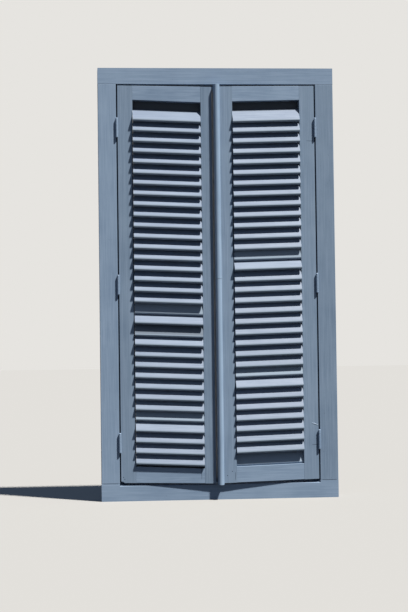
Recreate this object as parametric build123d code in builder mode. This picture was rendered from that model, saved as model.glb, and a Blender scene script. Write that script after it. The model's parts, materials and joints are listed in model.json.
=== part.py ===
from build123d import *
import os
from math import atan, cos, degrees, radians, sin

# A pair of louvred shutter leaves in a rebated timber window frame, standing a little ajar.
# Millimetres. X runs to the viewer's right, Y into the wall, Z up. The origin is the middle
# of the sill's underside, halfway through the frame's depth.

# Frame: a head and a sill run the full width, and two jambs stand between them.
frame_width = 944
frame_height = 1721
frame_depth = 90
jamb_width = 72
head_height = 65
sill_height = 70
stop_width = 14
sill_fall = 10
frame_arris = 1.5
jamb_tenon_thickness = 24
jamb_tenon_width = 44
jamb_tenon_length = 30

# Running gaps between a shut leaf and what it shuts against.
side_gap = 5
top_gap = 5
bottom_gap = 5
stop_gap = 5
meeting_gap = 7
meeting_offset = 16

# Leaves: two stiles run the full height, and two rails are tenoned between them.
leaf_thickness = 36
leaf_arris = 1.2
stile_width = 60
top_rail_height = 57
bottom_rail_height = 64
left_meeting_relief = 4.5
right_meeting_lean = 3
ajar_angle = 2.2
rail_tenon_thickness = 12
rail_tenon_height = 36
rail_tenon_length = 40
top_lip_recess = 32
top_lip_thickness = 4
top_lip_hang = 37
bottom_lip_thickness = 9
bottom_lip_rise = 20

# Each leaf has dropped at its meeting edge. Its slats and rails slope by the rack, and its
# trimmed top and bottom edges fall by less.
left_rack = 0.044
left_top_drop = 8
left_bottom_drop = 8
right_rack = 0.029
right_top_drop = 6
right_bottom_drop = 10

# Slats: boards with rounded edges, turning on round end pins in the stiles. Each third of a
# leaf stands at its own tilt, and a few slats have turned further or less.
slat_count = 33
slat_width = 67
slat_thickness = 14
left_tilts = (50, 52, 59)
right_tilts = (54, 59, 61)
left_turned = {19: 77, 20: 50, 21: 66, 29: 71, 30: 56}
right_turned = {14: 77, 15: 50, 25: 71, 26: 56}
steep_tilt = 70
steep_slat_width = 61
slat_end_gap = 0.6
slat_trim = 4
pin_diameter = 8
pin_length = 10
pin_hole_diameter = 9
pin_setback = 8
pivot_depth = 12
first_slat_drop = 53
last_slat_rise = 45
fallen_slat_lean = 73
contact_gap = 0.2

# Tilt rod: a batten down the back of the slats.
tilt_rod_width = 20
tilt_rod_thickness = 12
tilt_rod_overrun = 14

# Half-round cover strip on the right leaf's meeting edge, in two lengths.
strip_width = 24
strip_side_height = 12
strip_joint_drop = 770
strip_joint_gap = 1.2

# Broken lower corner of the left leaf, on the hinge side.
chip_width = 13
chip_height = 7
chip_depth = 20
chip_run_out = 0.3

# Butt hinges, three to a leaf.
hinge_length = 75
hinge_plate_depth = 26
hinge_plate_thickness = 2
knuckle_count = 5
knuckle_diameter = 10
knuckle_gap = 0.3
hinge_pin_diameter = 5
hinge_pin_clearance = 0.06
hinge_standoff = 6
hinge_button_length = 2.5
hinge_button_taper = 35
upper_hinge_drop = 170
lower_hinge_rise = 157

# Sizes that follow from the ones above.
front = -frame_depth / 2
back = frame_depth / 2
opening_half = frame_width / 2 - jamb_width
opening_top = frame_height - head_height
rebate_depth = leaf_thickness + stop_gap
stop_face = front + rebate_depth
fall_slope = sill_fall / rebate_depth
hinge_edge_x = -opening_half + side_gap
louvre_width = opening_half - side_gap - meeting_gap / 2 - 2 * stile_width
louvre_left_x = hinge_edge_x + stile_width
louvre_right_x = louvre_left_x + louvre_width
leaf_top = opening_top - top_gap
leaf_foot = sill_height - sill_fall + bottom_gap
hinge_x = -opening_half + side_gap / 2
hinge_y = front - hinge_standoff
knuckle_pitch = hinge_length / knuckle_count
pivot_y = front + pivot_depth
leaf_plane = Plane.XZ.offset(-front)

os.makedirs("parts", exist_ok=True)


def save(piece, name):
    """Label a finished piece and write it."""
    piece.part.label = name
    export_step(piece.part, f"parts/{name}.step")


def hang(piece, side, name):
    """Turn a piece modelled shut on the left to its own side, swing it ajar, and write it."""
    turned = piece.part if side < 0 else mirror(piece.part, about=Plane.YZ)
    axis = Axis((-side * hinge_x, hinge_y, 0), (0, 0, 1))
    with BuildPart() as hung:
        add(turned.rotate(axis, side * ajar_angle))
    save(hung, name)


# Sill: its top falls to the front between the jambs, behind that it rises as a stop, and the
# jambs' tenons enter flat seats at its ends.
with BuildPart() as sill:
    with BuildSketch(Plane.YZ):
        with BuildLine():
            Polyline(
                (front, 0), (back, 0), (back, sill_height + stop_width),
                (stop_face, sill_height + stop_width), (stop_face, sill_height),
                (front, sill_height - sill_fall), close=True,
            )
        make_face()
    extrude(amount=opening_half, both=True)
    with BuildSketch(Plane.XY):
        with Locations((-opening_half - jamb_width / 2, 0), (opening_half + jamb_width / 2, 0)):
            Rectangle(jamb_width, frame_depth)
    extrude(amount=sill_height)
    sill_front = sill.edges().group_by(Axis.Y)[0]
    fillet(sill_front.filter_by(Axis.X).filter_by(lambda e: e.center().Z > 0), frame_arris)
    with BuildSketch(Plane.XY.offset(sill_height)):
        with Locations((-opening_half - jamb_width / 2, 0), (opening_half + jamb_width / 2, 0)):
            Rectangle(jamb_tenon_width, jamb_tenon_thickness)
    extrude(amount=-jamb_tenon_length, mode=Mode.SUBTRACT)
save(sill, "frame_sill")

# Head: a rebated board whose stop runs between the jambs.
with BuildPart() as head:
    with BuildSketch(Plane.YZ):
        with BuildLine():
            Polyline(
                (front, frame_height), (back, frame_height), (back, opening_top - stop_width),
                (stop_face, opening_top - stop_width), (stop_face, opening_top),
                (front, opening_top), close=True,
            )
        make_face()
    extrude(amount=opening_half, both=True)
    with BuildSketch(Plane.XY.offset(opening_top)):
        with Locations((-opening_half - jamb_width / 2, 0), (opening_half + jamb_width / 2, 0)):
            Rectangle(jamb_width, frame_depth)
    extrude(amount=head_height)
    head_front = head.edges().group_by(Axis.Y)[0]
    fillet(head_front.filter_by(Axis.X).filter_by(lambda e: e.center().Z < frame_height), frame_arris)
    with BuildSketch(Plane.XY.offset(opening_top)):
        with Locations((-opening_half - jamb_width / 2, 0), (opening_half + jamb_width / 2, 0)):
            Rectangle(jamb_tenon_width, jamb_tenon_thickness)
    extrude(amount=jamb_tenon_length, mode=Mode.SUBTRACT)
save(head, "frame_head")

# Heights of the three hinges' middles, from the top one down.
leaf_foot_at_hinge = {-1: leaf_foot + left_bottom_drop, 1: leaf_foot + right_bottom_drop}


def hinge_heights(side):
    """Middle heights of one leaf's hinges, from the top one down."""
    upper = leaf_top - upper_hinge_drop
    lower = leaf_foot_at_hinge[side] + lower_hinge_rise
    return upper, (upper + lower) / 2, lower


# Jambs: a rebated post each side, let in for the hinge plates.
for side, name in ((-1, "frame_jamb_left"), (1, "frame_jamb_right")):
    with BuildPart() as jamb:
        with BuildSketch(Plane.XY.offset(sill_height)):
            with Locations((-opening_half - jamb_width / 2, 0)):
                Rectangle(jamb_width, frame_depth)
        extrude(amount=opening_top - sill_height)
        fillet(jamb.edges().group_by(Axis.Y)[0], frame_arris)
        with BuildSketch(Plane.XY.offset(sill_height + stop_width)):
            with Locations((-opening_half, stop_face)):
                Rectangle(stop_width, back - stop_face, align=(Align.MIN, Align.MIN))
        extrude(amount=opening_top - sill_height - 2 * stop_width)
        with BuildSketch(Plane.XY.offset(sill_height - jamb_tenon_length)):
            with Locations((-opening_half - jamb_width / 2, 0)):
                Rectangle(jamb_tenon_width, jamb_tenon_thickness)
        extrude(amount=opening_top - sill_height + 2 * jamb_tenon_length)
        with BuildSketch(Plane.YZ.offset(-opening_half)):
            with Locations(*[(front, z) for z in hinge_heights(side)]):
                Rectangle(hinge_plate_depth, hinge_length, align=(Align.MIN, Align.CENTER))
        extrude(amount=-hinge_plate_thickness, mode=Mode.SUBTRACT)
        if side > 0:
            mirror(about=Plane.YZ, mode=Mode.REPLACE)
    save(jamb, name)


def knuckle_levels(middle, first):
    """Bottom heights of every other knuckle of a hinge, counted from the lowest."""
    foot = middle - hinge_length / 2
    return [foot + knuckle_pitch * i for i in range(first, knuckle_count, 2)]


# Hinges: the frame's half has the outer knuckles and the pin, and the leaf's half the others.
for side, leaf_name in ((-1, "left"), (1, "right")):
    for level, middle in zip(("upper", "middle", "lower"), hinge_heights(side)):
        foot = middle - hinge_length / 2
        with BuildPart() as frame_half:
            with BuildSketch(Plane.XY.offset(foot)):
                with Locations((-opening_half, front)):
                    Rectangle(hinge_plate_thickness, hinge_plate_depth, align=(Align.MAX, Align.MIN))
            extrude(amount=hinge_length)
            for z in knuckle_levels(middle, 0):
                with BuildSketch(Plane.XY.offset(z)):
                    with Locations((-opening_half, hinge_y)):
                        Rectangle(hinge_plate_thickness, hinge_standoff, align=(Align.MAX, Align.MIN))
                    with Locations((hinge_x, hinge_y)):
                        Circle(knuckle_diameter / 2)
                extrude(amount=knuckle_pitch - knuckle_gap)
            with BuildSketch(Plane.XY.offset(foot)):
                with Locations((hinge_x, hinge_y)):
                    Circle(hinge_pin_diameter / 2)
            extrude(amount=hinge_length)
            for z, way in ((foot, -1), (foot + hinge_length - knuckle_gap, 1)):
                with BuildSketch(Plane.XY.offset(z)):
                    with Locations((hinge_x, hinge_y)):
                        Circle(knuckle_diameter / 2)
                extrude(amount=way * hinge_button_length, taper=hinge_button_taper)
            if side > 0:
                mirror(about=Plane.YZ, mode=Mode.REPLACE)
        save(frame_half, f"{leaf_name}_{level}_hinge_frame_half")

        with BuildPart() as leaf_half:
            with BuildSketch(Plane.XY.offset(foot)):
                with Locations((hinge_edge_x, front)):
                    Rectangle(hinge_plate_thickness, hinge_plate_depth, align=(Align.MIN, Align.MIN))
            extrude(amount=hinge_length)
            for z in knuckle_levels(middle, 1):
                with BuildSketch(Plane.XY.offset(z)):
                    with Locations((hinge_edge_x, hinge_y)):
                        Rectangle(hinge_plate_thickness, hinge_standoff, align=(Align.MIN, Align.MIN))
                    with Locations((hinge_x, hinge_y)):
                        Circle(knuckle_diameter / 2)
                        Circle(hinge_pin_diameter / 2 + hinge_pin_clearance, mode=Mode.SUBTRACT)
                extrude(amount=knuckle_pitch - knuckle_gap)
        hang(leaf_half, side, f"{leaf_name}_{level}_hinge_leaf_half")


def build_leaf(side, leaf_name, rack, top_drop, bottom_drop, tilts, turned, pinned_count):
    """One leaf, modelled shut on the left-hand side and then hung on its own side."""
    meeting_width = stile_width + side * meeting_offset
    meeting_x = louvre_right_x + meeting_width
    leaf_width = meeting_x - hinge_edge_x
    foot_at_hinge = leaf_foot_at_hinge[side]
    meeting_relief = left_meeting_relief if side < 0 else -right_meeting_lean

    def top_edge(x):
        return leaf_top - top_drop * (x - hinge_edge_x) / leaf_width

    def foot_edge(x):
        return foot_at_hinge - bottom_drop * (x - hinge_edge_x) / leaf_width

    def head_line(x):
        return top_edge(louvre_left_x) - top_rail_height - rack * (x - louvre_left_x)

    def foot_line(x):
        return foot_edge(louvre_left_x) + bottom_rail_height - rack * (x - louvre_left_x)

    rack_angle = degrees(atan(rack))
    louvre_height = head_line(louvre_left_x) - foot_line(louvre_left_x)
    slat_pitch = (louvre_height - first_slat_drop - last_slat_rise) / (slat_count - 1)

    def pivot_height(number, x):
        return head_line(x) - first_slat_drop - slat_pitch * (number - 1)

    # The leaf's underside follows the sill: it rises to the back as the sill does.
    underside = Plane(
        origin=(hinge_edge_x, front, foot_edge(hinge_edge_x)),
        x_dir=(1, 0, -bottom_drop / leaf_width),
        z_dir=Vector(1, 0, -bottom_drop / leaf_width).cross(Vector(0, 1, fall_slope)),
    )
    pinned_slats = range(1, pinned_count + 1)
    third = slat_count // 3

    def slat_tilt(number):
        return turned.get(number, tilts[(number - 1) // third])

    # Each rail has a tenon at both ends, midway between its edges.
    rail_ends = ((louvre_left_x, -1), (louvre_right_x, 1))
    rail_tenon_y = front + leaf_thickness / 2

    # Stiles: drilled for the slat pins, mortised for the rails, and let in for the hinges.
    stiles = (
        ("hinge_stile", hinge_edge_x, louvre_left_x, louvre_left_x, -1),
        ("meeting_stile", louvre_right_x, meeting_x - min(meeting_relief, 0), louvre_right_x, 1),
    )
    for stile_name, x_from, x_to, inner_x, way in stiles:
        with BuildPart() as stile:
            with BuildSketch(leaf_plane):
                with BuildLine():
                    Polyline(
                        (x_from, foot_edge(x_from)), (x_to, foot_edge(x_to)),
                        (x_to, top_edge(x_to)), (x_from, top_edge(x_from)), close=True,
                    )
                make_face()
            extrude(amount=-leaf_thickness)
            fillet(stile.edges().filter_by(Axis.Z), leaf_arris)
            split(bisect_by=underside, keep=Keep.TOP)
            pin_middle = inner_x + way * pin_length / 2
            with BuildSketch(Plane.YZ.offset(inner_x)):
                with Locations(*[(pivot_y, pivot_height(n, pin_middle)) for n in pinned_slats]):
                    Circle(pin_hole_diameter / 2)
            extrude(amount=way * (pin_length + 1), mode=Mode.SUBTRACT)
            rail_middles = (
                (top_edge(inner_x) + head_line(inner_x)) / 2,
                (foot_edge(inner_x) + foot_line(inner_x)) / 2,
            )
            with BuildSketch(Plane.YZ.offset(inner_x)):
                with Locations(*[(rail_tenon_y, z) for z in rail_middles]):
                    Rectangle(rail_tenon_thickness, rail_tenon_height)
            extrude(amount=way * rail_tenon_length, mode=Mode.SUBTRACT)
            if stile_name == "hinge_stile":
                with BuildSketch(Plane.YZ.offset(hinge_edge_x)):
                    with Locations(*[(front, z) for z in hinge_heights(side)]):
                        Rectangle(hinge_plate_depth, hinge_length, align=(Align.MIN, Align.CENTER))
                extrude(amount=hinge_plate_thickness, mode=Mode.SUBTRACT)
                if side < 0:
                    corner_z = foot_edge(hinge_edge_x)
                    with BuildSketch(leaf_plane):
                        with BuildLine():
                            Polyline(
                                (hinge_edge_x - side_gap, corner_z - bottom_gap),
                                (hinge_edge_x + chip_width, corner_z - bottom_gap),
                                (hinge_edge_x + chip_width, corner_z + 0.15 * chip_height),
                                (hinge_edge_x + 0.6 * chip_width, corner_z + 0.7 * chip_height),
                                (hinge_edge_x + 0.25 * chip_width, corner_z + 0.8 * chip_height),
                                (hinge_edge_x, corner_z + chip_height),
                                (hinge_edge_x - side_gap, corner_z + chip_height), close=True,
                            )
                        make_face()
                    extrude(amount=chip_depth, dir=(0, 1, -chip_run_out), mode=Mode.SUBTRACT)
            else:
                meeting_face = Plane(
                    origin=(meeting_x, front, 0),
                    x_dir=(0, 0, 1),
                    z_dir=(-leaf_thickness, -meeting_relief, 0),
                )
                split(bisect_by=meeting_face, keep=Keep.TOP)
        hang(stile, side, f"{leaf_name}_{stile_name}")

    # Top rail: a lip set back from its face hangs down behind the first slat's shadow.
    with BuildPart() as top_rail:
        with BuildSketch(leaf_plane):
            with BuildLine():
                Polyline(
                    (louvre_left_x, head_line(louvre_left_x)),
                    (louvre_right_x, head_line(louvre_right_x)),
                    (louvre_right_x, top_edge(louvre_right_x)),
                    (louvre_left_x, top_edge(louvre_left_x)), close=True,
                )
            make_face()
        extrude(amount=-leaf_thickness)
        rail_front = top_rail.edges().group_by(Axis.Y)[0]
        fillet(rail_front.filter_by(lambda e: e.length > louvre_width / 2), leaf_arris)
        with BuildSketch(leaf_plane.offset(-top_lip_recess)):
            with BuildLine():
                Polyline(
                    (louvre_left_x, head_line(louvre_left_x) - top_lip_hang),
                    (louvre_right_x, head_line(louvre_right_x) - top_lip_hang),
                    (louvre_right_x, head_line(louvre_right_x)),
                    (louvre_left_x, head_line(louvre_left_x)), close=True,
                )
            make_face()
        extrude(amount=-top_lip_thickness)
        for x, way in rail_ends:
            with BuildSketch(Plane.YZ.offset(x)):
                with Locations((rail_tenon_y, (head_line(x) + top_edge(x)) / 2)):
                    Rectangle(rail_tenon_thickness, rail_tenon_height)
            extrude(amount=way * rail_tenon_length)
    hang(top_rail, side, f"{leaf_name}_top_rail")

    # Bottom rail: its rear edge rises as a lip behind the last slat.
    with BuildPart() as bottom_rail:
        with BuildSketch(leaf_plane):
            with BuildLine():
                Polyline(
                    (louvre_left_x, foot_edge(louvre_left_x)),
                    (louvre_right_x, foot_edge(louvre_right_x)),
                    (louvre_right_x, foot_line(louvre_right_x)),
                    (louvre_left_x, foot_line(louvre_left_x)), close=True,
                )
            make_face()
        extrude(amount=-leaf_thickness)
        rail_front = bottom_rail.edges().group_by(Axis.Y)[0]
        fillet(rail_front.filter_by(lambda e: e.length > louvre_width / 2), leaf_arris)
        with BuildSketch(leaf_plane.offset(-leaf_thickness)):
            with BuildLine():
                Polyline(
                    (louvre_left_x, foot_line(louvre_left_x)),
                    (louvre_right_x, foot_line(louvre_right_x)),
                    (louvre_right_x, foot_line(louvre_right_x) + bottom_lip_rise),
                    (louvre_left_x, foot_line(louvre_left_x) + bottom_lip_rise), close=True,
                )
            make_face()
        extrude(amount=bottom_lip_thickness)
        split(bisect_by=underside, keep=Keep.TOP)
        for x, way in rail_ends:
            with BuildSketch(Plane.YZ.offset(x)):
                with Locations((rail_tenon_y, (foot_edge(x) + foot_line(x)) / 2)):
                    Rectangle(rail_tenon_thickness, rail_tenon_height)
            extrude(amount=way * rail_tenon_length)
    hang(bottom_rail, side, f"{leaf_name}_bottom_rail")

    # Slats: in thirds from the top. Each is made over-long, square to its sloping axis, and
    # then cut to the line of the stiles.
    along = Vector(cos(radians(rack_angle)), 0, -sin(radians(rack_angle)))
    across = Vector(-sin(radians(rack_angle)), 0, -cos(radians(rack_angle)))
    start_x = louvre_left_x - slat_trim
    slat_length = (louvre_width + 2 * slat_trim) / along.X
    left_cut = Plane.YZ.offset(louvre_left_x + slat_end_gap)
    right_cut = Plane.YZ.offset(louvre_right_x - slat_end_gap)

    def slat_plane(number):
        """Section plane at a slat's first end: its X runs from the pivot to the nose."""
        tilt = radians(slat_tilt(number))
        return Plane(
            origin=(start_x, pivot_y, pivot_height(number, start_x)),
            x_dir=Vector(0, -1, 0) * cos(tilt) + across * sin(tilt),
            z_dir=along,
        )

    thirds = (
        ("slats_upper", range(1, third + 1)),
        ("slats_middle", range(third + 1, 2 * third + 1)),
        ("slats_lower", range(2 * third + 1, pinned_count + 1)),
    )
    for group_name, numbers in thirds:
        with BuildPart() as slats:
            for number in numbers:
                section = slat_plane(number)
                width = slat_width if slat_tilt(number) < steep_tilt else steep_slat_width
                with BuildSketch(section):
                    with Locations((pin_setback - (slat_width - width) / 2, 0)):
                        SlotOverall(width, slat_thickness)
                extrude(amount=slat_length)
            split(bisect_by=left_cut, keep=Keep.TOP)
            split(bisect_by=right_cut, keep=Keep.BOTTOM)
            for number in numbers:
                with BuildSketch(slat_plane(number).offset(slat_trim - pin_length)):
                    Circle(pin_diameter / 2)
                extrude(amount=slat_length - 2 * (slat_trim - pin_length))
        hang(slats, side, f"{leaf_name}_{group_name}")

    # Tilt rod: it stands just clear of the slats' rear edges.
    tilt_angle = radians(min(slat_tilt(n) for n in pinned_slats))
    rear_reach = (slat_width / 2 - slat_thickness / 2 - pin_setback) * cos(tilt_angle)
    rod_front = pivot_y + rear_reach + slat_thickness / 2 + contact_gap
    rod_x = louvre_left_x + louvre_width / 2
    rod_top = pivot_height(1, rod_x) + tilt_rod_overrun
    rod_foot = pivot_height(pinned_count, rod_x)
    with BuildPart() as tilt_rod:
        with BuildSketch(Plane.XY.offset(rod_foot)):
            with Locations((rod_x, rod_front)):
                Rectangle(tilt_rod_width, tilt_rod_thickness, align=(Align.CENTER, Align.MIN))
        extrude(amount=rod_top - rod_foot)
    hang(tilt_rod, side, f"{leaf_name}_tilt_rod")

    # Fallen slat: the lowest one has lost its pins. It stands on the bottom rail and leans
    # back on the rail's lip.
    if pinned_count < slat_count:
        lean = radians(fallen_slat_lean)
        cap = slat_thickness / 2
        lip_y = leaf_thickness - bottom_lip_thickness
        lip_side = cap + contact_gap + (bottom_lip_rise - cap) * cos(lean)
        foot_y = front + lip_y - lip_side / sin(lean)
        foot_z = foot_line(start_x) + cap + contact_gap
        leaning = Plane(
            origin=(start_x, foot_y, foot_z),
            x_dir=Vector(0, 1, 0) * cos(lean) - across * sin(lean),
            z_dir=along,
        )
        with BuildPart() as fallen_slat:
            with BuildSketch(leaning):
                with Locations((slat_width / 2 - cap, 0)):
                    SlotOverall(slat_width, slat_thickness)
            extrude(amount=slat_length)
            split(bisect_by=left_cut, keep=Keep.TOP)
            split(bisect_by=right_cut, keep=Keep.BOTTOM)
        hang(fallen_slat, side, f"{leaf_name}_fallen_slat")

    # Cover strip: half round, flush with the meeting edge, with a butt joint at half height.
    if side > 0:
        joint_z = top_edge(meeting_x) - strip_joint_drop
        low_end = foot_edge(meeting_x) - bottom_gap
        high_end = leaf_top
        spans = (
            ("cover_strip_upper", joint_z + strip_joint_gap / 2, high_end),
            ("cover_strip_lower", low_end, joint_z - strip_joint_gap / 2),
        )
        for strip_name, z_from, z_to in spans:
            with BuildPart() as strip:
                with BuildSketch(Plane.XY.offset(z_from)):
                    with Locations((meeting_x - strip_width / 2, front)):
                        Rectangle(strip_width, strip_side_height, align=(Align.CENTER, Align.MAX))
                    with Locations((meeting_x - strip_width / 2, front - strip_side_height)):
                        Circle(strip_width / 2)
                    with Locations((meeting_x - strip_width / 2, front)):
                        Rectangle(strip_width, strip_width, align=(Align.CENTER, Align.MIN),
                                  mode=Mode.SUBTRACT)
                extrude(amount=z_to - z_from)
                if strip_name == "cover_strip_lower":
                    split(bisect_by=underside, keep=Keep.TOP)
            hang(strip, side, f"{leaf_name}_{strip_name}")


build_leaf(
    -1, "left", left_rack, left_top_drop, left_bottom_drop, left_tilts, left_turned, slat_count,
)
build_leaf(
    1, "right", right_rack, right_top_drop, right_bottom_drop, right_tilts, right_turned,
    slat_count - 1,
)
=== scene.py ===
import json
import math

import bpy
import numpy as np
from mathutils import Matrix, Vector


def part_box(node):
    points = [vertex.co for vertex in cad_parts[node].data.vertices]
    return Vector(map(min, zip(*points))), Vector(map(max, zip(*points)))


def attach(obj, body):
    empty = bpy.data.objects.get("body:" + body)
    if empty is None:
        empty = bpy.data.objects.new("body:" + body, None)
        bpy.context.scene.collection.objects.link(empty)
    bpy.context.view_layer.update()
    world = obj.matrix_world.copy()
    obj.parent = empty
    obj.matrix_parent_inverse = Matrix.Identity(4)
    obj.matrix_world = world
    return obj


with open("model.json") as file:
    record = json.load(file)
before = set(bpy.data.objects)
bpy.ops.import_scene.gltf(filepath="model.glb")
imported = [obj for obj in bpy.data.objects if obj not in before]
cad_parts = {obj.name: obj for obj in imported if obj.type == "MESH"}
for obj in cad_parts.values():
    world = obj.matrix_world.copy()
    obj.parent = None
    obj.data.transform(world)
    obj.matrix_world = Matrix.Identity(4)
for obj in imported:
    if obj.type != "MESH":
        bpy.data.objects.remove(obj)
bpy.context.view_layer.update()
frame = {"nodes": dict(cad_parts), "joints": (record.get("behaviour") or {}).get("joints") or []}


# Window frame: a sill and a head right across, with two jambs tenoned between them.
# Planed softwood, primed and brushed with oil paint in place, along the grain of each board.
PAINT_BLUE = "#768AA1"      # chalky grey-blue, the jambs and stiles in even light
PAINT_BLUE_DARK = "#687C94"
PAINT_BLUE_LIGHT = "#8295AC"
GRIME = "#3A444E"
# Painted shade: the colour that recesses behind a leaf's face are darkened towards.
PAINTED_SHADE_BLUE = "#2C333C"
FRONT_Y = -0.045            # the front faces of the frame and of a shut leaf
AJAR = math.radians(2.2)    # each leaf stands this far open at rest
AJAR_SLOPE = 0.0384         # how far its face comes forward, for each metre from the hinge line
HINGE_LINE_X = 0.3975


def linear(hex_colour):
    """An sRGB hex colour as linear RGBA: each channel is c / 12.92 below 0.04045 and
    ((c + 0.055) / 1.055) to the power 2.4 above it."""
    c = np.array([int(hex_colour[i:i + 2], 16) for i in (1, 3, 5)]) / 255
    rgb = np.where(c <= 0.04045, c / 12.92, ((c + 0.055) / 1.055) ** 2.4)
    return (*rgb.tolist(), 1.0)


def add(tree, kind, settings=None, **links):
    """Add one node. A setting is a property, or an input's value where the node has an input of
    that name, and a link ties an input to another node's output."""
    node = tree.nodes.new(kind)
    for key, value in (settings or {}).items():
        if isinstance(key, int) or key in node.inputs:
            node.inputs[key].default_value = value
        else:
            setattr(node, key, value)
    for key, socket in links.items():
        tree.links.new(socket, node.inputs[int(key[1:]) if key[1:].isdigit() else key])
    return node


def brushed_paint(name, across, stroke_mm, colours, gloss=0.5, speck=0.5, lump_mm=0.0,
                  painted_shade_mm=None):
    """Oil paint brushed on planed timber: soft sheen, with stretched noise as brush strokes,
    wide noise as fading, fine noise as the grain that telegraphs through, and small dark
    flecks. Painted shade darkens the recesses behind a leaf's face. across names the axis that
    the strokes run along, lump_mm is the width of lumps in a thick coat, and painted_shade_mm
    says from where to where behind a leaf's front face the painted shade lies."""
    dark, base, light = colours
    m = bpy.data.materials.new(name)
    m.use_nodes = True
    t = m.node_tree
    t.nodes.clear()
    out = add(t, "ShaderNodeOutputMaterial")
    place = add(t, "ShaderNodeTexCoord").outputs["Object"]

    # A stroke is 40 times as long as it is wide, and the grain lines 60 times.
    def stretched(width_mm, ratio):
        scale = [1000 / width_mm] * 3
        scale["XYZ".index(across)] /= ratio
        return add(t, "ShaderNodeMapping", {"Scale": scale}, Vector=place).outputs[0]

    strokes = add(t, "ShaderNodeTexNoise", {"Scale": 1.0, "Detail": 3.0, "Roughness": 0.6},
                  Vector=stretched(stroke_mm, 40))
    grain = add(t, "ShaderNodeTexNoise", {"Scale": 1.0, "Detail": 2.0, "Roughness": 0.5},
                Vector=stretched(2.0, 60))
    fading = add(t, "ShaderNodeTexNoise", {"Scale": 1000 / 160, "Detail": 4.0, "Roughness": 0.55},
                 Vector=place)
    patches = add(t, "ShaderNodeTexNoise", {"Scale": 1000 / 26, "Detail": 3.0, "Roughness": 0.6},
                  Vector=place)

    # Flecks about 1.5 mm across, only where the patches of weather are thick.
    fleck = add(t, "ShaderNodeTexVoronoi", {"Scale": 1000 / 11, "Randomness": 1.0}, Vector=place)
    fleck_dot = add(t, "ShaderNodeMapRange", {"From Min": 0.06, "From Max": 0.16,
                                              "To Min": 1.0, "To Max": 0.0},
                    Value=fleck.outputs["Distance"])
    fleck_zone = add(t, "ShaderNodeMapRange", {"From Min": 0.56, "From Max": 0.66},
                     Value=patches.outputs["Fac"])
    fleck_mask = add(t, "ShaderNodeMath", {"operation": "MULTIPLY"},
                     _0=fleck_dot.outputs[0], _1=fleck_zone.outputs[0])
    fleck_share = add(t, "ShaderNodeMath", {"operation": "MULTIPLY", 1: speck},
                      _0=fleck_mask.outputs[0])

    wide = add(t, "ShaderNodeMapRange", {"From Min": 0.3, "From Max": 0.7},
               Value=fading.outputs["Fac"])
    faded = add(t, "ShaderNodeMix", {"data_type": "RGBA", 6: linear(dark), 7: linear(base)},
                Factor=wide.outputs[0])
    streak = add(t, "ShaderNodeMapRange", {"From Min": 0.42, "From Max": 0.78, "To Max": 0.85},
                 Value=strokes.outputs["Fac"])
    brushed = add(t, "ShaderNodeMix", {"data_type": "RGBA", 7: linear(light)},
                  Factor=streak.outputs[0], _6=faded.outputs[2])
    marked = add(t, "ShaderNodeMix", {"data_type": "RGBA", 7: linear(GRIME)},
                 Factor=fleck_share.outputs[0], _6=brushed.outputs[2])

    colour = marked.outputs[2]

    # Depth behind an ajar leaf's face = y - FRONT_Y + AJAR_SLOPE * (HINGE_LINE_X - |x|).
    # Painted shade: faces that don't look down are darkened towards this colour within the given
    # depths.
    if painted_shade_mm:
        normal = add(t, "ShaderNodeNewGeometry").outputs["Normal"]
        facing = add(t, "ShaderNodeSeparateXYZ", _0=normal)
        at = add(t, "ShaderNodeSeparateXYZ", _0=place)
        off_middle = add(t, "ShaderNodeMath", {"operation": "ABSOLUTE"}, _0=at.outputs["X"])
        depth = add(t, "ShaderNodeMath", {"operation": "MULTIPLY_ADD", 1: -AJAR_SLOPE},
                    _0=off_middle.outputs[0], _2=at.outputs["Y"])
        near, far = np.array(painted_shade_mm) / 1000 + FRONT_Y - AJAR_SLOPE * HINGE_LINE_X
        begun = add(t, "ShaderNodeMapRange", {"From Min": near, "From Max": near + 0.008,
                                              "To Max": 0.9}, Value=depth.outputs[0])
        ended = add(t, "ShaderNodeMapRange", {"From Min": far, "From Max": far + 0.001,
                                              "To Min": 1.0, "To Max": 0.0},
                    Value=depth.outputs[0])
        not_under = add(t, "ShaderNodeMapRange", {"From Min": -0.2, "From Max": -0.05},
                        Value=facing.outputs["Z"])
        reached = add(t, "ShaderNodeMath", {"operation": "MULTIPLY"}, _0=begun.outputs[0],
                      _1=ended.outputs[0])
        painted_shade_share = add(t, "ShaderNodeMath", {"operation": "MULTIPLY"}, _0=reached.outputs[0],
                         _1=not_under.outputs[0])
        painted_shaded = add(t, "ShaderNodeMix", {"data_type": "RGBA", 7: linear(PAINTED_SHADE_BLUE)},
                    Factor=painted_shade_share.outputs[0], _6=colour)
        colour = painted_shaded.outputs[2]

    sheen = add(t, "ShaderNodeMapRange", {"From Min": 0.3, "From Max": 0.7,
                                          "To Min": gloss - 0.02, "To Max": gloss + 0.04},
                Value=patches.outputs["Fac"])
    ridge = add(t, "ShaderNodeBump", {"Strength": 0.5, "Distance": 0.0006},
                Height=strokes.outputs["Fac"])
    fine = add(t, "ShaderNodeBump", {"Strength": 0.35, "Distance": 0.0003},
               Height=grain.outputs["Fac"], Normal=ridge.outputs[0])
    if lump_mm:
        lumps = add(t, "ShaderNodeTexNoise", {"Scale": 1000 / lump_mm, "Detail": 2.0}, Vector=place)
        fine = add(t, "ShaderNodeBump", {"Strength": 0.8, "Distance": 0.0008},
                   Height=lumps.outputs["Fac"], Normal=fine.outputs[0])
    paint = add(t, "ShaderNodeBsdfPrincipled", {"IOR": 1.5, "Specular IOR Level": 0.2},
                **{"Base Color": colour, "Roughness": sheen.outputs[0],
                   "Normal": fine.outputs[0]})
    t.links.new(paint.outputs[0], out.inputs[0])
    return m


def dress(material, *nodes):
    """Put one material on CAD nodes, which keep their own shape."""
    for node in nodes:
        slots = frame["nodes"][node].data.materials
        slots.clear()
        slots.append(material)


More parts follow.
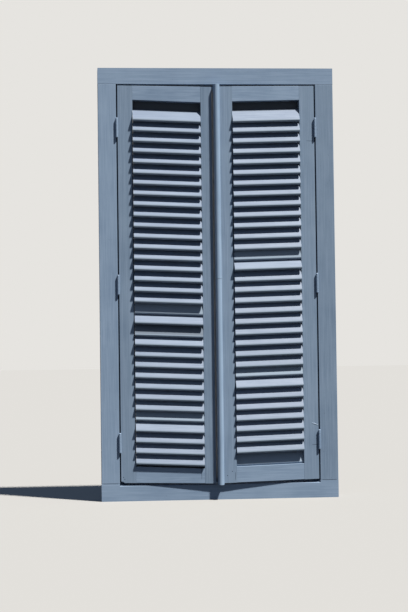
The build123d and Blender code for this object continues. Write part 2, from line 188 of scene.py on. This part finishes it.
PAINT_BLUES = (PAINT_BLUE_DARK, PAINT_BLUE, PAINT_BLUE_LIGHT)
upright_paint = brushed_paint("oil_paint_on_upright_board", "Z", 5.0, PAINT_BLUES)
level_paint = brushed_paint("oil_paint_on_level_board", "X", 5.0, PAINT_BLUES)
dress(level_paint, "frame_sill", "frame_head")

# The right jamb and the left leaf's meeting stile are given a darker copy of the upright paint.
DARKER_UPRIGHT_BLUES = ("#5F7288", "#6C7F94", "#788AA0")
darker_upright_paint = brushed_paint("darker_paint_on_upright_board", "Z", 5.0, DARKER_UPRIGHT_BLUES, 0.56, 0.8)
dress(upright_paint, "frame_jamb_left")
dress(darker_upright_paint, "frame_jamb_right")

# Leaf frames: two stiles and two rails to a leaf, tenoned, pinned and planed flush.
# The same softwood and paint, laid off up the stiles and along the rails.
LEAVES = ("left", "right")
STILE_BLUES = ("#62758B", "#6F8297", "#7A8CA2")
stile_paint = brushed_paint("oil_paint_on_stile", "Z", 5.0, STILE_BLUES)
# The rails' paint is darkened 10 to 34 mm behind the face, as painted shade.
rail_paint = brushed_paint("oil_paint_on_rail", "X", 5.0, PAINT_BLUES, painted_shade_mm=(10, 34))
for leaf in LEAVES:
    dress(stile_paint, f"{leaf}_hinge_stile")
    dress(rail_paint, f"{leaf}_top_rail", f"{leaf}_bottom_rail")
dress(stile_paint, "right_meeting_stile")
dress(darker_upright_paint, "left_meeting_stile")

# Slats: softwood boards with rounded edges, turned on end pins. The paint was brushed on along
# them in finer strokes and has chalked to a greyer blue. Their rear parts are darkened as painted
# shade, and along the arris they carry painted light and a painted shade line.
SLAT_BLUE = "#6D7B8F"
SLAT_BLUE_DARK = "#627085"
SLAT_BLUE_LIGHT = "#7A879A"
slat_paint = brushed_paint("oil_paint_on_slats", "X", 3.0,
                           (SLAT_BLUE_DARK, SLAT_BLUE, SLAT_BLUE_LIGHT), 0.5, 0.25,
                           painted_shade_mm=(12, 80))

# The front edge is painted a little paler, as painted light, and a painted shade line parts it
# from the chalky upper face. Both are found from how far the surface faces up: 1 is level, 0 is
# upright.
NOSE_BLUE = "#7F8FA0"
NOSE_SHADE_LINE = "#5A6675"
t = slat_paint.node_tree
surface = next(n for n in t.nodes if n.type == "BSDF_PRINCIPLED")
chalky = surface.inputs["Base Color"].links[0].from_socket
facing = add(t, "ShaderNodeSeparateXYZ", _0=add(t, "ShaderNodeNewGeometry").outputs["Normal"])
off_line = add(t, "ShaderNodeMapRange", {"From Min": 0.43, "From Max": 0.48},
               Value=facing.outputs["Z"])
edge = add(t, "ShaderNodeMapRange", {"From Min": 0.34, "From Max": 0.40},
           Value=facing.outputs["Z"])
# Painted light on the front edge and a painted shade line, by which way the face turns.
nose = add(t, "ShaderNodeMix", {"data_type": "RGBA", 6: linear(NOSE_BLUE), 7: linear(NOSE_SHADE_LINE)},
           Factor=edge.outputs[0])
whole = add(t, "ShaderNodeMix", {"data_type": "RGBA"}, Factor=off_line.outputs[0],
            _6=nose.outputs[2], _7=chalky)
t.links.new(whole.outputs[2], surface.inputs["Base Color"])
for leaf in LEAVES:
    dress(slat_paint, *[f"{leaf}_slats_{part}" for part in ("upper", "middle", "lower")])
dress(slat_paint, "right_fallen_slat")

# Tilt rods: a square-edged batten up the back of each leaf's slats, painted with them.
dress(upright_paint, "left_tilt_rod", "right_tilt_rod")

# Cover strip: a half-round moulding pinned to the right leaf's meeting edge, in two lengths.
# Its round face sheds the rain, so its paint has kept a little more gloss than the boards'.
STRIP_BLUES = ("#748AA3", "#8298B0", "#8FA4BB")
strip_paint = brushed_paint("oil_paint_on_round_moulding", "Z", 4.0, STRIP_BLUES, 0.4, 0.2)
dress(strip_paint, "right_cover_strip_upper", "right_cover_strip_lower")

# Butt hinges: pressed steel, let in flush and painted over with the timber many times, so the
# coat is thick and lumpy. Three countersunk screws hold each plate, filled with paint.
hinge_paint = brushed_paint("thick_paint_on_steel", "Z", 4.0, PAINT_BLUES, 0.42, 0.9, lump_mm=5.0)
LEVELS = ("upper", "middle", "lower")
for leaf in LEAVES:
    for level in LEVELS:
        dress(hinge_paint, f"{leaf}_{level}_hinge_frame_half", f"{leaf}_{level}_hinge_leaf_half")

OUT = np.array([0.0, -1.0, 0.0])
UP = np.array([0.0, 0.0, 1.0])


def hung(points, leaf):
    """Points given on a shut leaf, turned about its upright hinge line by the angle that it
    stands ajar: x' = x cos + y sin on the left leaf, and the mirror of that on the right."""
    joint = next(j for j in frame["joints"] if j["name"] == f"{leaf}_leaf_hinge")
    turn = AJAR * (1 if leaf == "right" else -1)
    c, s = np.cos(turn), np.sin(turn)
    about = np.array([[c, -s, 0.0], [s, c, 0.0], [0.0, 0.0, 1.0]])
    centre = np.array(joint["pos_m"]) * (1, 1, 0)
    return (np.asarray(points) - centre) @ about.T + centre


def closed_shape(rings, first, last):
    """A closed surface through rings of points: four-sided faces between neighbours, and a fan
    from the point at each end. The sum of the faces' signed volumes tells which way they face,
    and they are turned over where it is negative."""
    count, sides = rings.shape[:2]
    points = np.vstack([rings.reshape(-1, 3), first, last])
    here = np.arange(count * sides).reshape(count, sides)
    beside = np.roll(here, -1, axis=1)
    quads = np.stack([here[:-1], beside[:-1], beside[1:], here[1:]], axis=-1).reshape(-1, 4)
    start = np.stack([beside[0], here[0], np.full(sides, count * sides)], axis=-1)
    end = np.stack([here[-1], beside[-1], np.full(sides, count * sides + 1)], axis=-1)
    fans = np.vstack([start, end])
    thirds = points[np.vstack([fans, quads[:, :3], quads[:, [0, 2, 3]]])] - points.mean(axis=0)
    volume = np.einsum("ij,ij->i", thirds[:, 0], np.cross(thirds[:, 1], thirds[:, 2])).sum()
    if volume < 0:
        quads, fans = quads[:, ::-1], fans[:, ::-1]
    return points, quads, fans


def joined_piece(name, shapes, material, body):
    """One object from closed shapes that don't touch, smooth shaded, riding on a body."""
    starts = np.cumsum([0] + [len(points) for points, _, _ in shapes])
    faces = [face for (_, quads, fans), at in zip(shapes, starts)
             for face in (quads + at).tolist() + (fans + at).tolist()]
    mesh = bpy.data.meshes.new(name)
    mesh.from_pydata(np.vstack([points for points, _, _ in shapes]).tolist(), [], faces)
    mesh.polygons.foreach_set("use_smooth", [True] * len(mesh.polygons))
    mesh.materials.append(material)
    piece = bpy.data.objects.new(name, mesh)
    bpy.context.scene.collection.objects.link(piece)
    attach(piece, body)
    return piece


HEAD_SUNK = 0.0006
HEAD_RINGS = 9
HEAD_SIDES = 32


def fixing_head(centre, out, radius, height, slot_angle=None):
    """A low round head: its height above the face is height * (1 - (r / radius) squared), less
    a slot across it, a groove of the shape exp(-(u / half width) to the 4th). The last ring is
    sunk into the face."""
    out = np.asarray(out, float)
    one = np.cross(out, UP)
    reach = np.linspace(0.12, 1.0, HEAD_RINGS)[:, None] * radius
    turn = np.linspace(0, 2 * np.pi, HEAD_SIDES, endpoint=False)[None, :]
    rise = height * (1 - (reach / radius) ** 2) * np.ones_like(turn)
    middle = height
    if slot_angle is not None:
        across_slot = reach * np.sin(turn - slot_angle)
        groove = SLOT_DEPTH * np.exp(-(across_slot / SLOT_HALF) ** 4)
        rise = rise - groove * (reach < 0.9 * radius)
        middle = height - SLOT_DEPTH
    flat = one * (reach * np.cos(turn))[..., None] + UP * (reach * np.sin(turn))[..., None]
    rings = centre + flat + out * rise[..., None]
    sunk = rings[-1:] - out * HEAD_SUNK
    return closed_shape(np.concatenate([rings, sunk]), centre + out * middle,
                        centre - out * HEAD_SUNK)


SCREW_RADIUS = 0.0040
SCREW_HEIGHT = 0.0005
SLOT_DEPTH = 0.0004
SLOT_HALF = 0.0006
SCREW_PLACES = ((0.009, 0.027), (0.017, 0.0), (0.009, -0.027))  # back from the front face, and up
JAMB_PLATE_X = 0.400        # the two plates' faces, out from the middle
LEAF_PLATE_X = 0.395
screws = {"frame": [], "left_leaf": [], "right_leaf": []}
slot_turns = np.random.default_rng(5).uniform(0, np.pi, 36)
for leaf, way in zip(LEAVES, (-1, 1)):
    for level in LEVELS:
        low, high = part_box(f"{leaf}_{level}_hinge_frame_half")
        middle_z = (low[2] + high[2]) / 2
        for back, up in SCREW_PLACES:
            done = sum(len(heads) for heads in screws.values())
            screws["frame"].append(fixing_head(
                np.array([way * JAMB_PLATE_X, FRONT_Y + back, middle_z + up]),
                (-way, 0, 0), SCREW_RADIUS, SCREW_HEIGHT, slot_turns[done]))
            points, quads, fans = fixing_head(
                np.array([way * LEAF_PLATE_X, FRONT_Y + back, middle_z + up]),
                (way, 0, 0), SCREW_RADIUS, SCREW_HEIGHT, slot_turns[done + 1])
            screws[f"{leaf}_leaf"].append((hung(points, leaf), quads, fans))
for body, heads in screws.items():
    joined_piece(f"{body}_hinge_screws", heads, hinge_paint, body)

# Cracks and dents in the paint: open hairlines at two hinges and at the joints, an old nail hole
# and a few dents, all full of dirt. Each is a thin dark bead or disc on the face.
BEAD_SIDES = 10
BEAD_STEPS = 8              # rings between two places on the path


def bead(path, out, half_width, half_height):
    """A closed bead along a path on a face: each ring is an ellipse, half_width across the path
    and half_height out of the face, times the 4th root of sin(pi * share of the way)."""
    path = np.asarray(path, float)
    fine = np.linspace(0, len(path) - 1, BEAD_STEPS * (len(path) - 1) + 1)
    line = np.stack([np.interp(fine, np.arange(len(path)), path[:, i]) for i in range(3)],
                    axis=-1)
    along = np.gradient(line, axis=0)
    along /= np.linalg.norm(along, axis=1, keepdims=True)
    beside = np.cross(along, out)
    turn = np.linspace(0, 2 * np.pi, BEAD_SIDES, endpoint=False)
    swell = np.sin(np.pi * np.linspace(0, 1, len(line))).clip(0)[:, None, None] ** 0.25
    rings = line[:, None] + swell * (
        beside[:, None] * (half_width * np.cos(turn))[None, :, None]
        + out * (half_height * np.sin(turn))[None, :, None])
    return closed_shape(rings[1:-1], line[0], line[-1])


def on_face(*places):
    """Points on the front faces of a shut leaf or the frame, from x and z in millimetres."""
    return np.array([(x / 1000, FRONT_Y, z / 1000) for x, z in places])


CRACK_HALF = 0.0007
CRACK_PROUD = 0.00015
DENT_RADIUS = 0.0018
cracks = {
    "left_leaf": [((-76.5, 80), (-76.5, 128))],
    "right_leaf": [((367.3, 211.3), (382, 211.1), (395, 210.8)),
                   ((361.2, 1428.4), (377, 1428.2), (393, 1428.6)),
                   ((57.6, 76), (57.6, 110))],
    "frame": [((-470, 70), (-401, 70)), ((401, 70), (470, 70))],
}
dents = {"left_leaf": [(-385.6, 94.3), (-381, 86)],
         "right_leaf": [(45.2, 111.6), (25.8, 95.4)]}
DIRT_AND_SHADE_BLUES = ("#1E2835", "#263344", "#324152")
# Dark paint: dirt in the cracks and dents, and painted shade at the slat ends below.
crack_dirt_and_shade_paint = brushed_paint("dirt_in_cracks_and_painted_shade", "X", 3.0, DIRT_AND_SHADE_BLUES, 0.7, 0.0)
for body, lines in cracks.items():
    shapes = [bead(on_face(*line), OUT, CRACK_HALF, CRACK_PROUD) for line in lines]
    shapes += [fixing_head(on_face(place)[0], OUT, DENT_RADIUS, CRACK_PROUD)
               for place in dents.get(body, [])]
    if body != "frame":
        leaf = body.split("_")[0]
        shapes = [(hung(points, leaf), quads, fans) for points, quads, fans in shapes]
    joined_piece(f"{body}_paint_cracks", shapes, crack_dirt_and_shade_paint, body)

# Slat ends: a bead of old paint up each stile's inner face, which all but closes the 0.6 mm gap
# there, coloured dark as painted shade in the gap. The dark line on the stile's face at the left
# ends is painted shade, standing for a gap wider than that.
END_BEAD_HALF = 0.003
END_BEAD_PROUD = 0.0005
END_BEAD_BEHIND = np.array([0.0, 0.012, 0.0])
END_LINE_HALF = 0.0019
END_LINE_PROUD = 0.0002
STILE_INNER_X = {"left": (-335.0, -63.5), "right": (63.5, 335.0)}
END_Z = np.linspace(150, 1550, 29)
INWARD = np.array([1.0, 0.0, 0.0])
for leaf, (left_x, right_x) in STILE_INNER_X.items():
    beads = [bead(on_face(*[(x, z) for z in END_Z]) + END_BEAD_BEHIND, way * INWARD,
                  END_BEAD_HALF, END_BEAD_PROUD)
             for x, way in ((left_x, 1), (right_x, -1))]
    beads.append(bead(on_face(*[(left_x - 2.0, z) for z in END_Z]), OUT,
                      END_LINE_HALF, END_LINE_PROUD))
    beads = [(hung(points, leaf), quads, fans) for points, quads, fans in beads]
    joined_piece(f"{leaf}_slat_end_painted_shade", beads, crack_dirt_and_shade_paint, f"{leaf}_leaf")

# Run of paint: a thick drip that dried on the right leaf's hinge stile, above the lower hinge.
# The same oil paint, paler and glossier where it is thick.
RUN_HALF = 0.0016
RUN_PROUD = 0.0011
RUN_BLUES = ("#7F92A8", "#8B9DB2", "#97A9BD")
run_paint = brushed_paint("dried_run_of_paint", "X", 3.0, RUN_BLUES, 0.4, 0.0)
run = bead(on_face((367, 296.2), (372, 295.9), (378, 294.8), (384, 292.6), (389.6, 290.5),
                   (394, 289.2)), OUT, RUN_HALF, RUN_PROUD)
joined_piece("right_leaf_paint_run", [(hung(run[0], "right"), run[1], run[2])],
             run_paint, "right_leaf")

# Studio floor: a plain pale sheet far wider than the view. It looks the same to the camera and
# in reflections, and throws little light back up, so the slats keep their depth.
FLOOR_PALE = "#939494"
FLOOR_DIM = "#3C3C3C"
FLOOR_HALF = 60.0
corner = np.array([[-1, -1, 0], [1, -1, 0], [1, 1, 0], [-1, 1, 0]], float) * FLOOR_HALF
floor_mesh = bpy.data.meshes.new("studio_floor")
floor_mesh.from_pydata(corner.tolist(), [], [(0, 1, 2, 3)])
floor = bpy.data.objects.new("studio_floor", floor_mesh)
bpy.context.scene.collection.objects.link(floor)
floor_paint = bpy.data.materials.new("matt_floor")
floor_paint.use_nodes = True
t = floor_paint.node_tree
t.nodes.clear()


def seen_plainly(tree):
    """1 for what the camera sees, straight or in a reflection or through glass, and else 0: the
    largest of the three ray flags."""
    ray = add(tree, "ShaderNodeLightPath").outputs
    seen = add(tree, "ShaderNodeMath", {"operation": "MAXIMUM"}, _0=ray["Is Camera Ray"],
               _1=ray["Is Glossy Ray"])
    seen = add(tree, "ShaderNodeMath", {"operation": "MAXIMUM"}, _0=seen.outputs[0],
               _1=ray["Is Transmission Ray"])
    return seen.outputs[0]


tone = add(t, "ShaderNodeMix", {"data_type": "RGBA", 6: linear(FLOOR_DIM),
                                7: linear(FLOOR_PALE)}, Factor=seen_plainly(t))
matt = add(t, "ShaderNodeBsdfDiffuse", Color=tone.outputs[2])
add(t, "ShaderNodeOutputMaterial", Surface=matt.outputs[0])
floor_mesh.materials.append(floor_paint)

# Studio light: one lamp, high to the right of the window's front and narrow enough for the
# slats to throw clear shadows, and a dim even fill from the world, which shows pale itself.
LAMP_TOWARDS = np.array([1.05, -1.0, 2.55])
LAMP_STRENGTH = 9.0
LAMP_SPREAD = math.radians(3.0)
LAMP_TINT = (1.0, 0.94, 0.86)
lamp_data = bpy.data.lights.new("key_lamp", "SUN")
lamp_data.energy = LAMP_STRENGTH
lamp_data.angle = LAMP_SPREAD
lamp_data.color = LAMP_TINT
lamp = bpy.data.objects.new("key_lamp", lamp_data)
away = LAMP_TOWARDS / np.linalg.norm(LAMP_TOWARDS)
side = np.cross((0, 0, 1), away)
side /= np.linalg.norm(side)
lamp.matrix_world = Matrix(np.vstack([
    np.column_stack([side, np.cross(away, side), away, away * 8]), (0, 0, 0, 1)]).tolist())
bpy.context.scene.collection.objects.link(lamp)

FILL_TINT = "#B2CDF4"
FILL_STRENGTH = 0.29
BACKDROP = "#E6E4E0"
world = bpy.data.worlds.new("studio")
world.use_nodes = True
t = world.node_tree
t.nodes.clear()
fill = add(t, "ShaderNodeBackground", {"Color": linear(FILL_TINT), "Strength": FILL_STRENGTH})
pale = add(t, "ShaderNodeBackground", {"Color": linear(BACKDROP), "Strength": 1.0})
both = add(t, "ShaderNodeMixShader", _0=seen_plainly(t), _1=fill.outputs[0], _2=pale.outputs[0])
add(t, "ShaderNodeOutputWorld", Surface=both.outputs[0])
bpy.context.scene.world = world

# Camera: a little left of the window's middle and a third of its height up, 6 m away, as the
# photograph was taken, turned and tipped to bring the window to its place in the picture.
CAMERA_AT = (-0.5442, -5.9934, 0.5747)
CAMERA_YAW, CAMERA_PITCH, CAMERA_ROLL = np.radians((4.67, 1.861, -0.721))
FOCAL_SHARE = 1500 / 612    # focal length as a share of the picture's height
ahead = np.array([np.sin(CAMERA_YAW) * np.cos(CAMERA_PITCH),
                  np.cos(CAMERA_YAW) * np.cos(CAMERA_PITCH), np.sin(CAMERA_PITCH)])
level = np.array([np.cos(CAMERA_YAW), -np.sin(CAMERA_YAW), 0.0])
upward = np.cross(level, ahead)
across = np.cos(CAMERA_ROLL) * level + np.sin(CAMERA_ROLL) * upward
upward = np.cos(CAMERA_ROLL) * upward - np.sin(CAMERA_ROLL) * level
camera_data = bpy.data.cameras.new("camera")
camera_data.sensor_width = 36.0
camera_data.lens = camera_data.sensor_width * FOCAL_SHARE
camera = bpy.data.objects.new("camera", camera_data)
camera.matrix_world = Matrix(np.vstack([
    np.column_stack([across, upward, -ahead, CAMERA_AT]), (0, 0, 0, 1)]).tolist())
bpy.context.scene.collection.objects.link(camera)
bpy.context.scene.camera = camera
bpy.context.scene.view_settings.view_transform = "Standard"
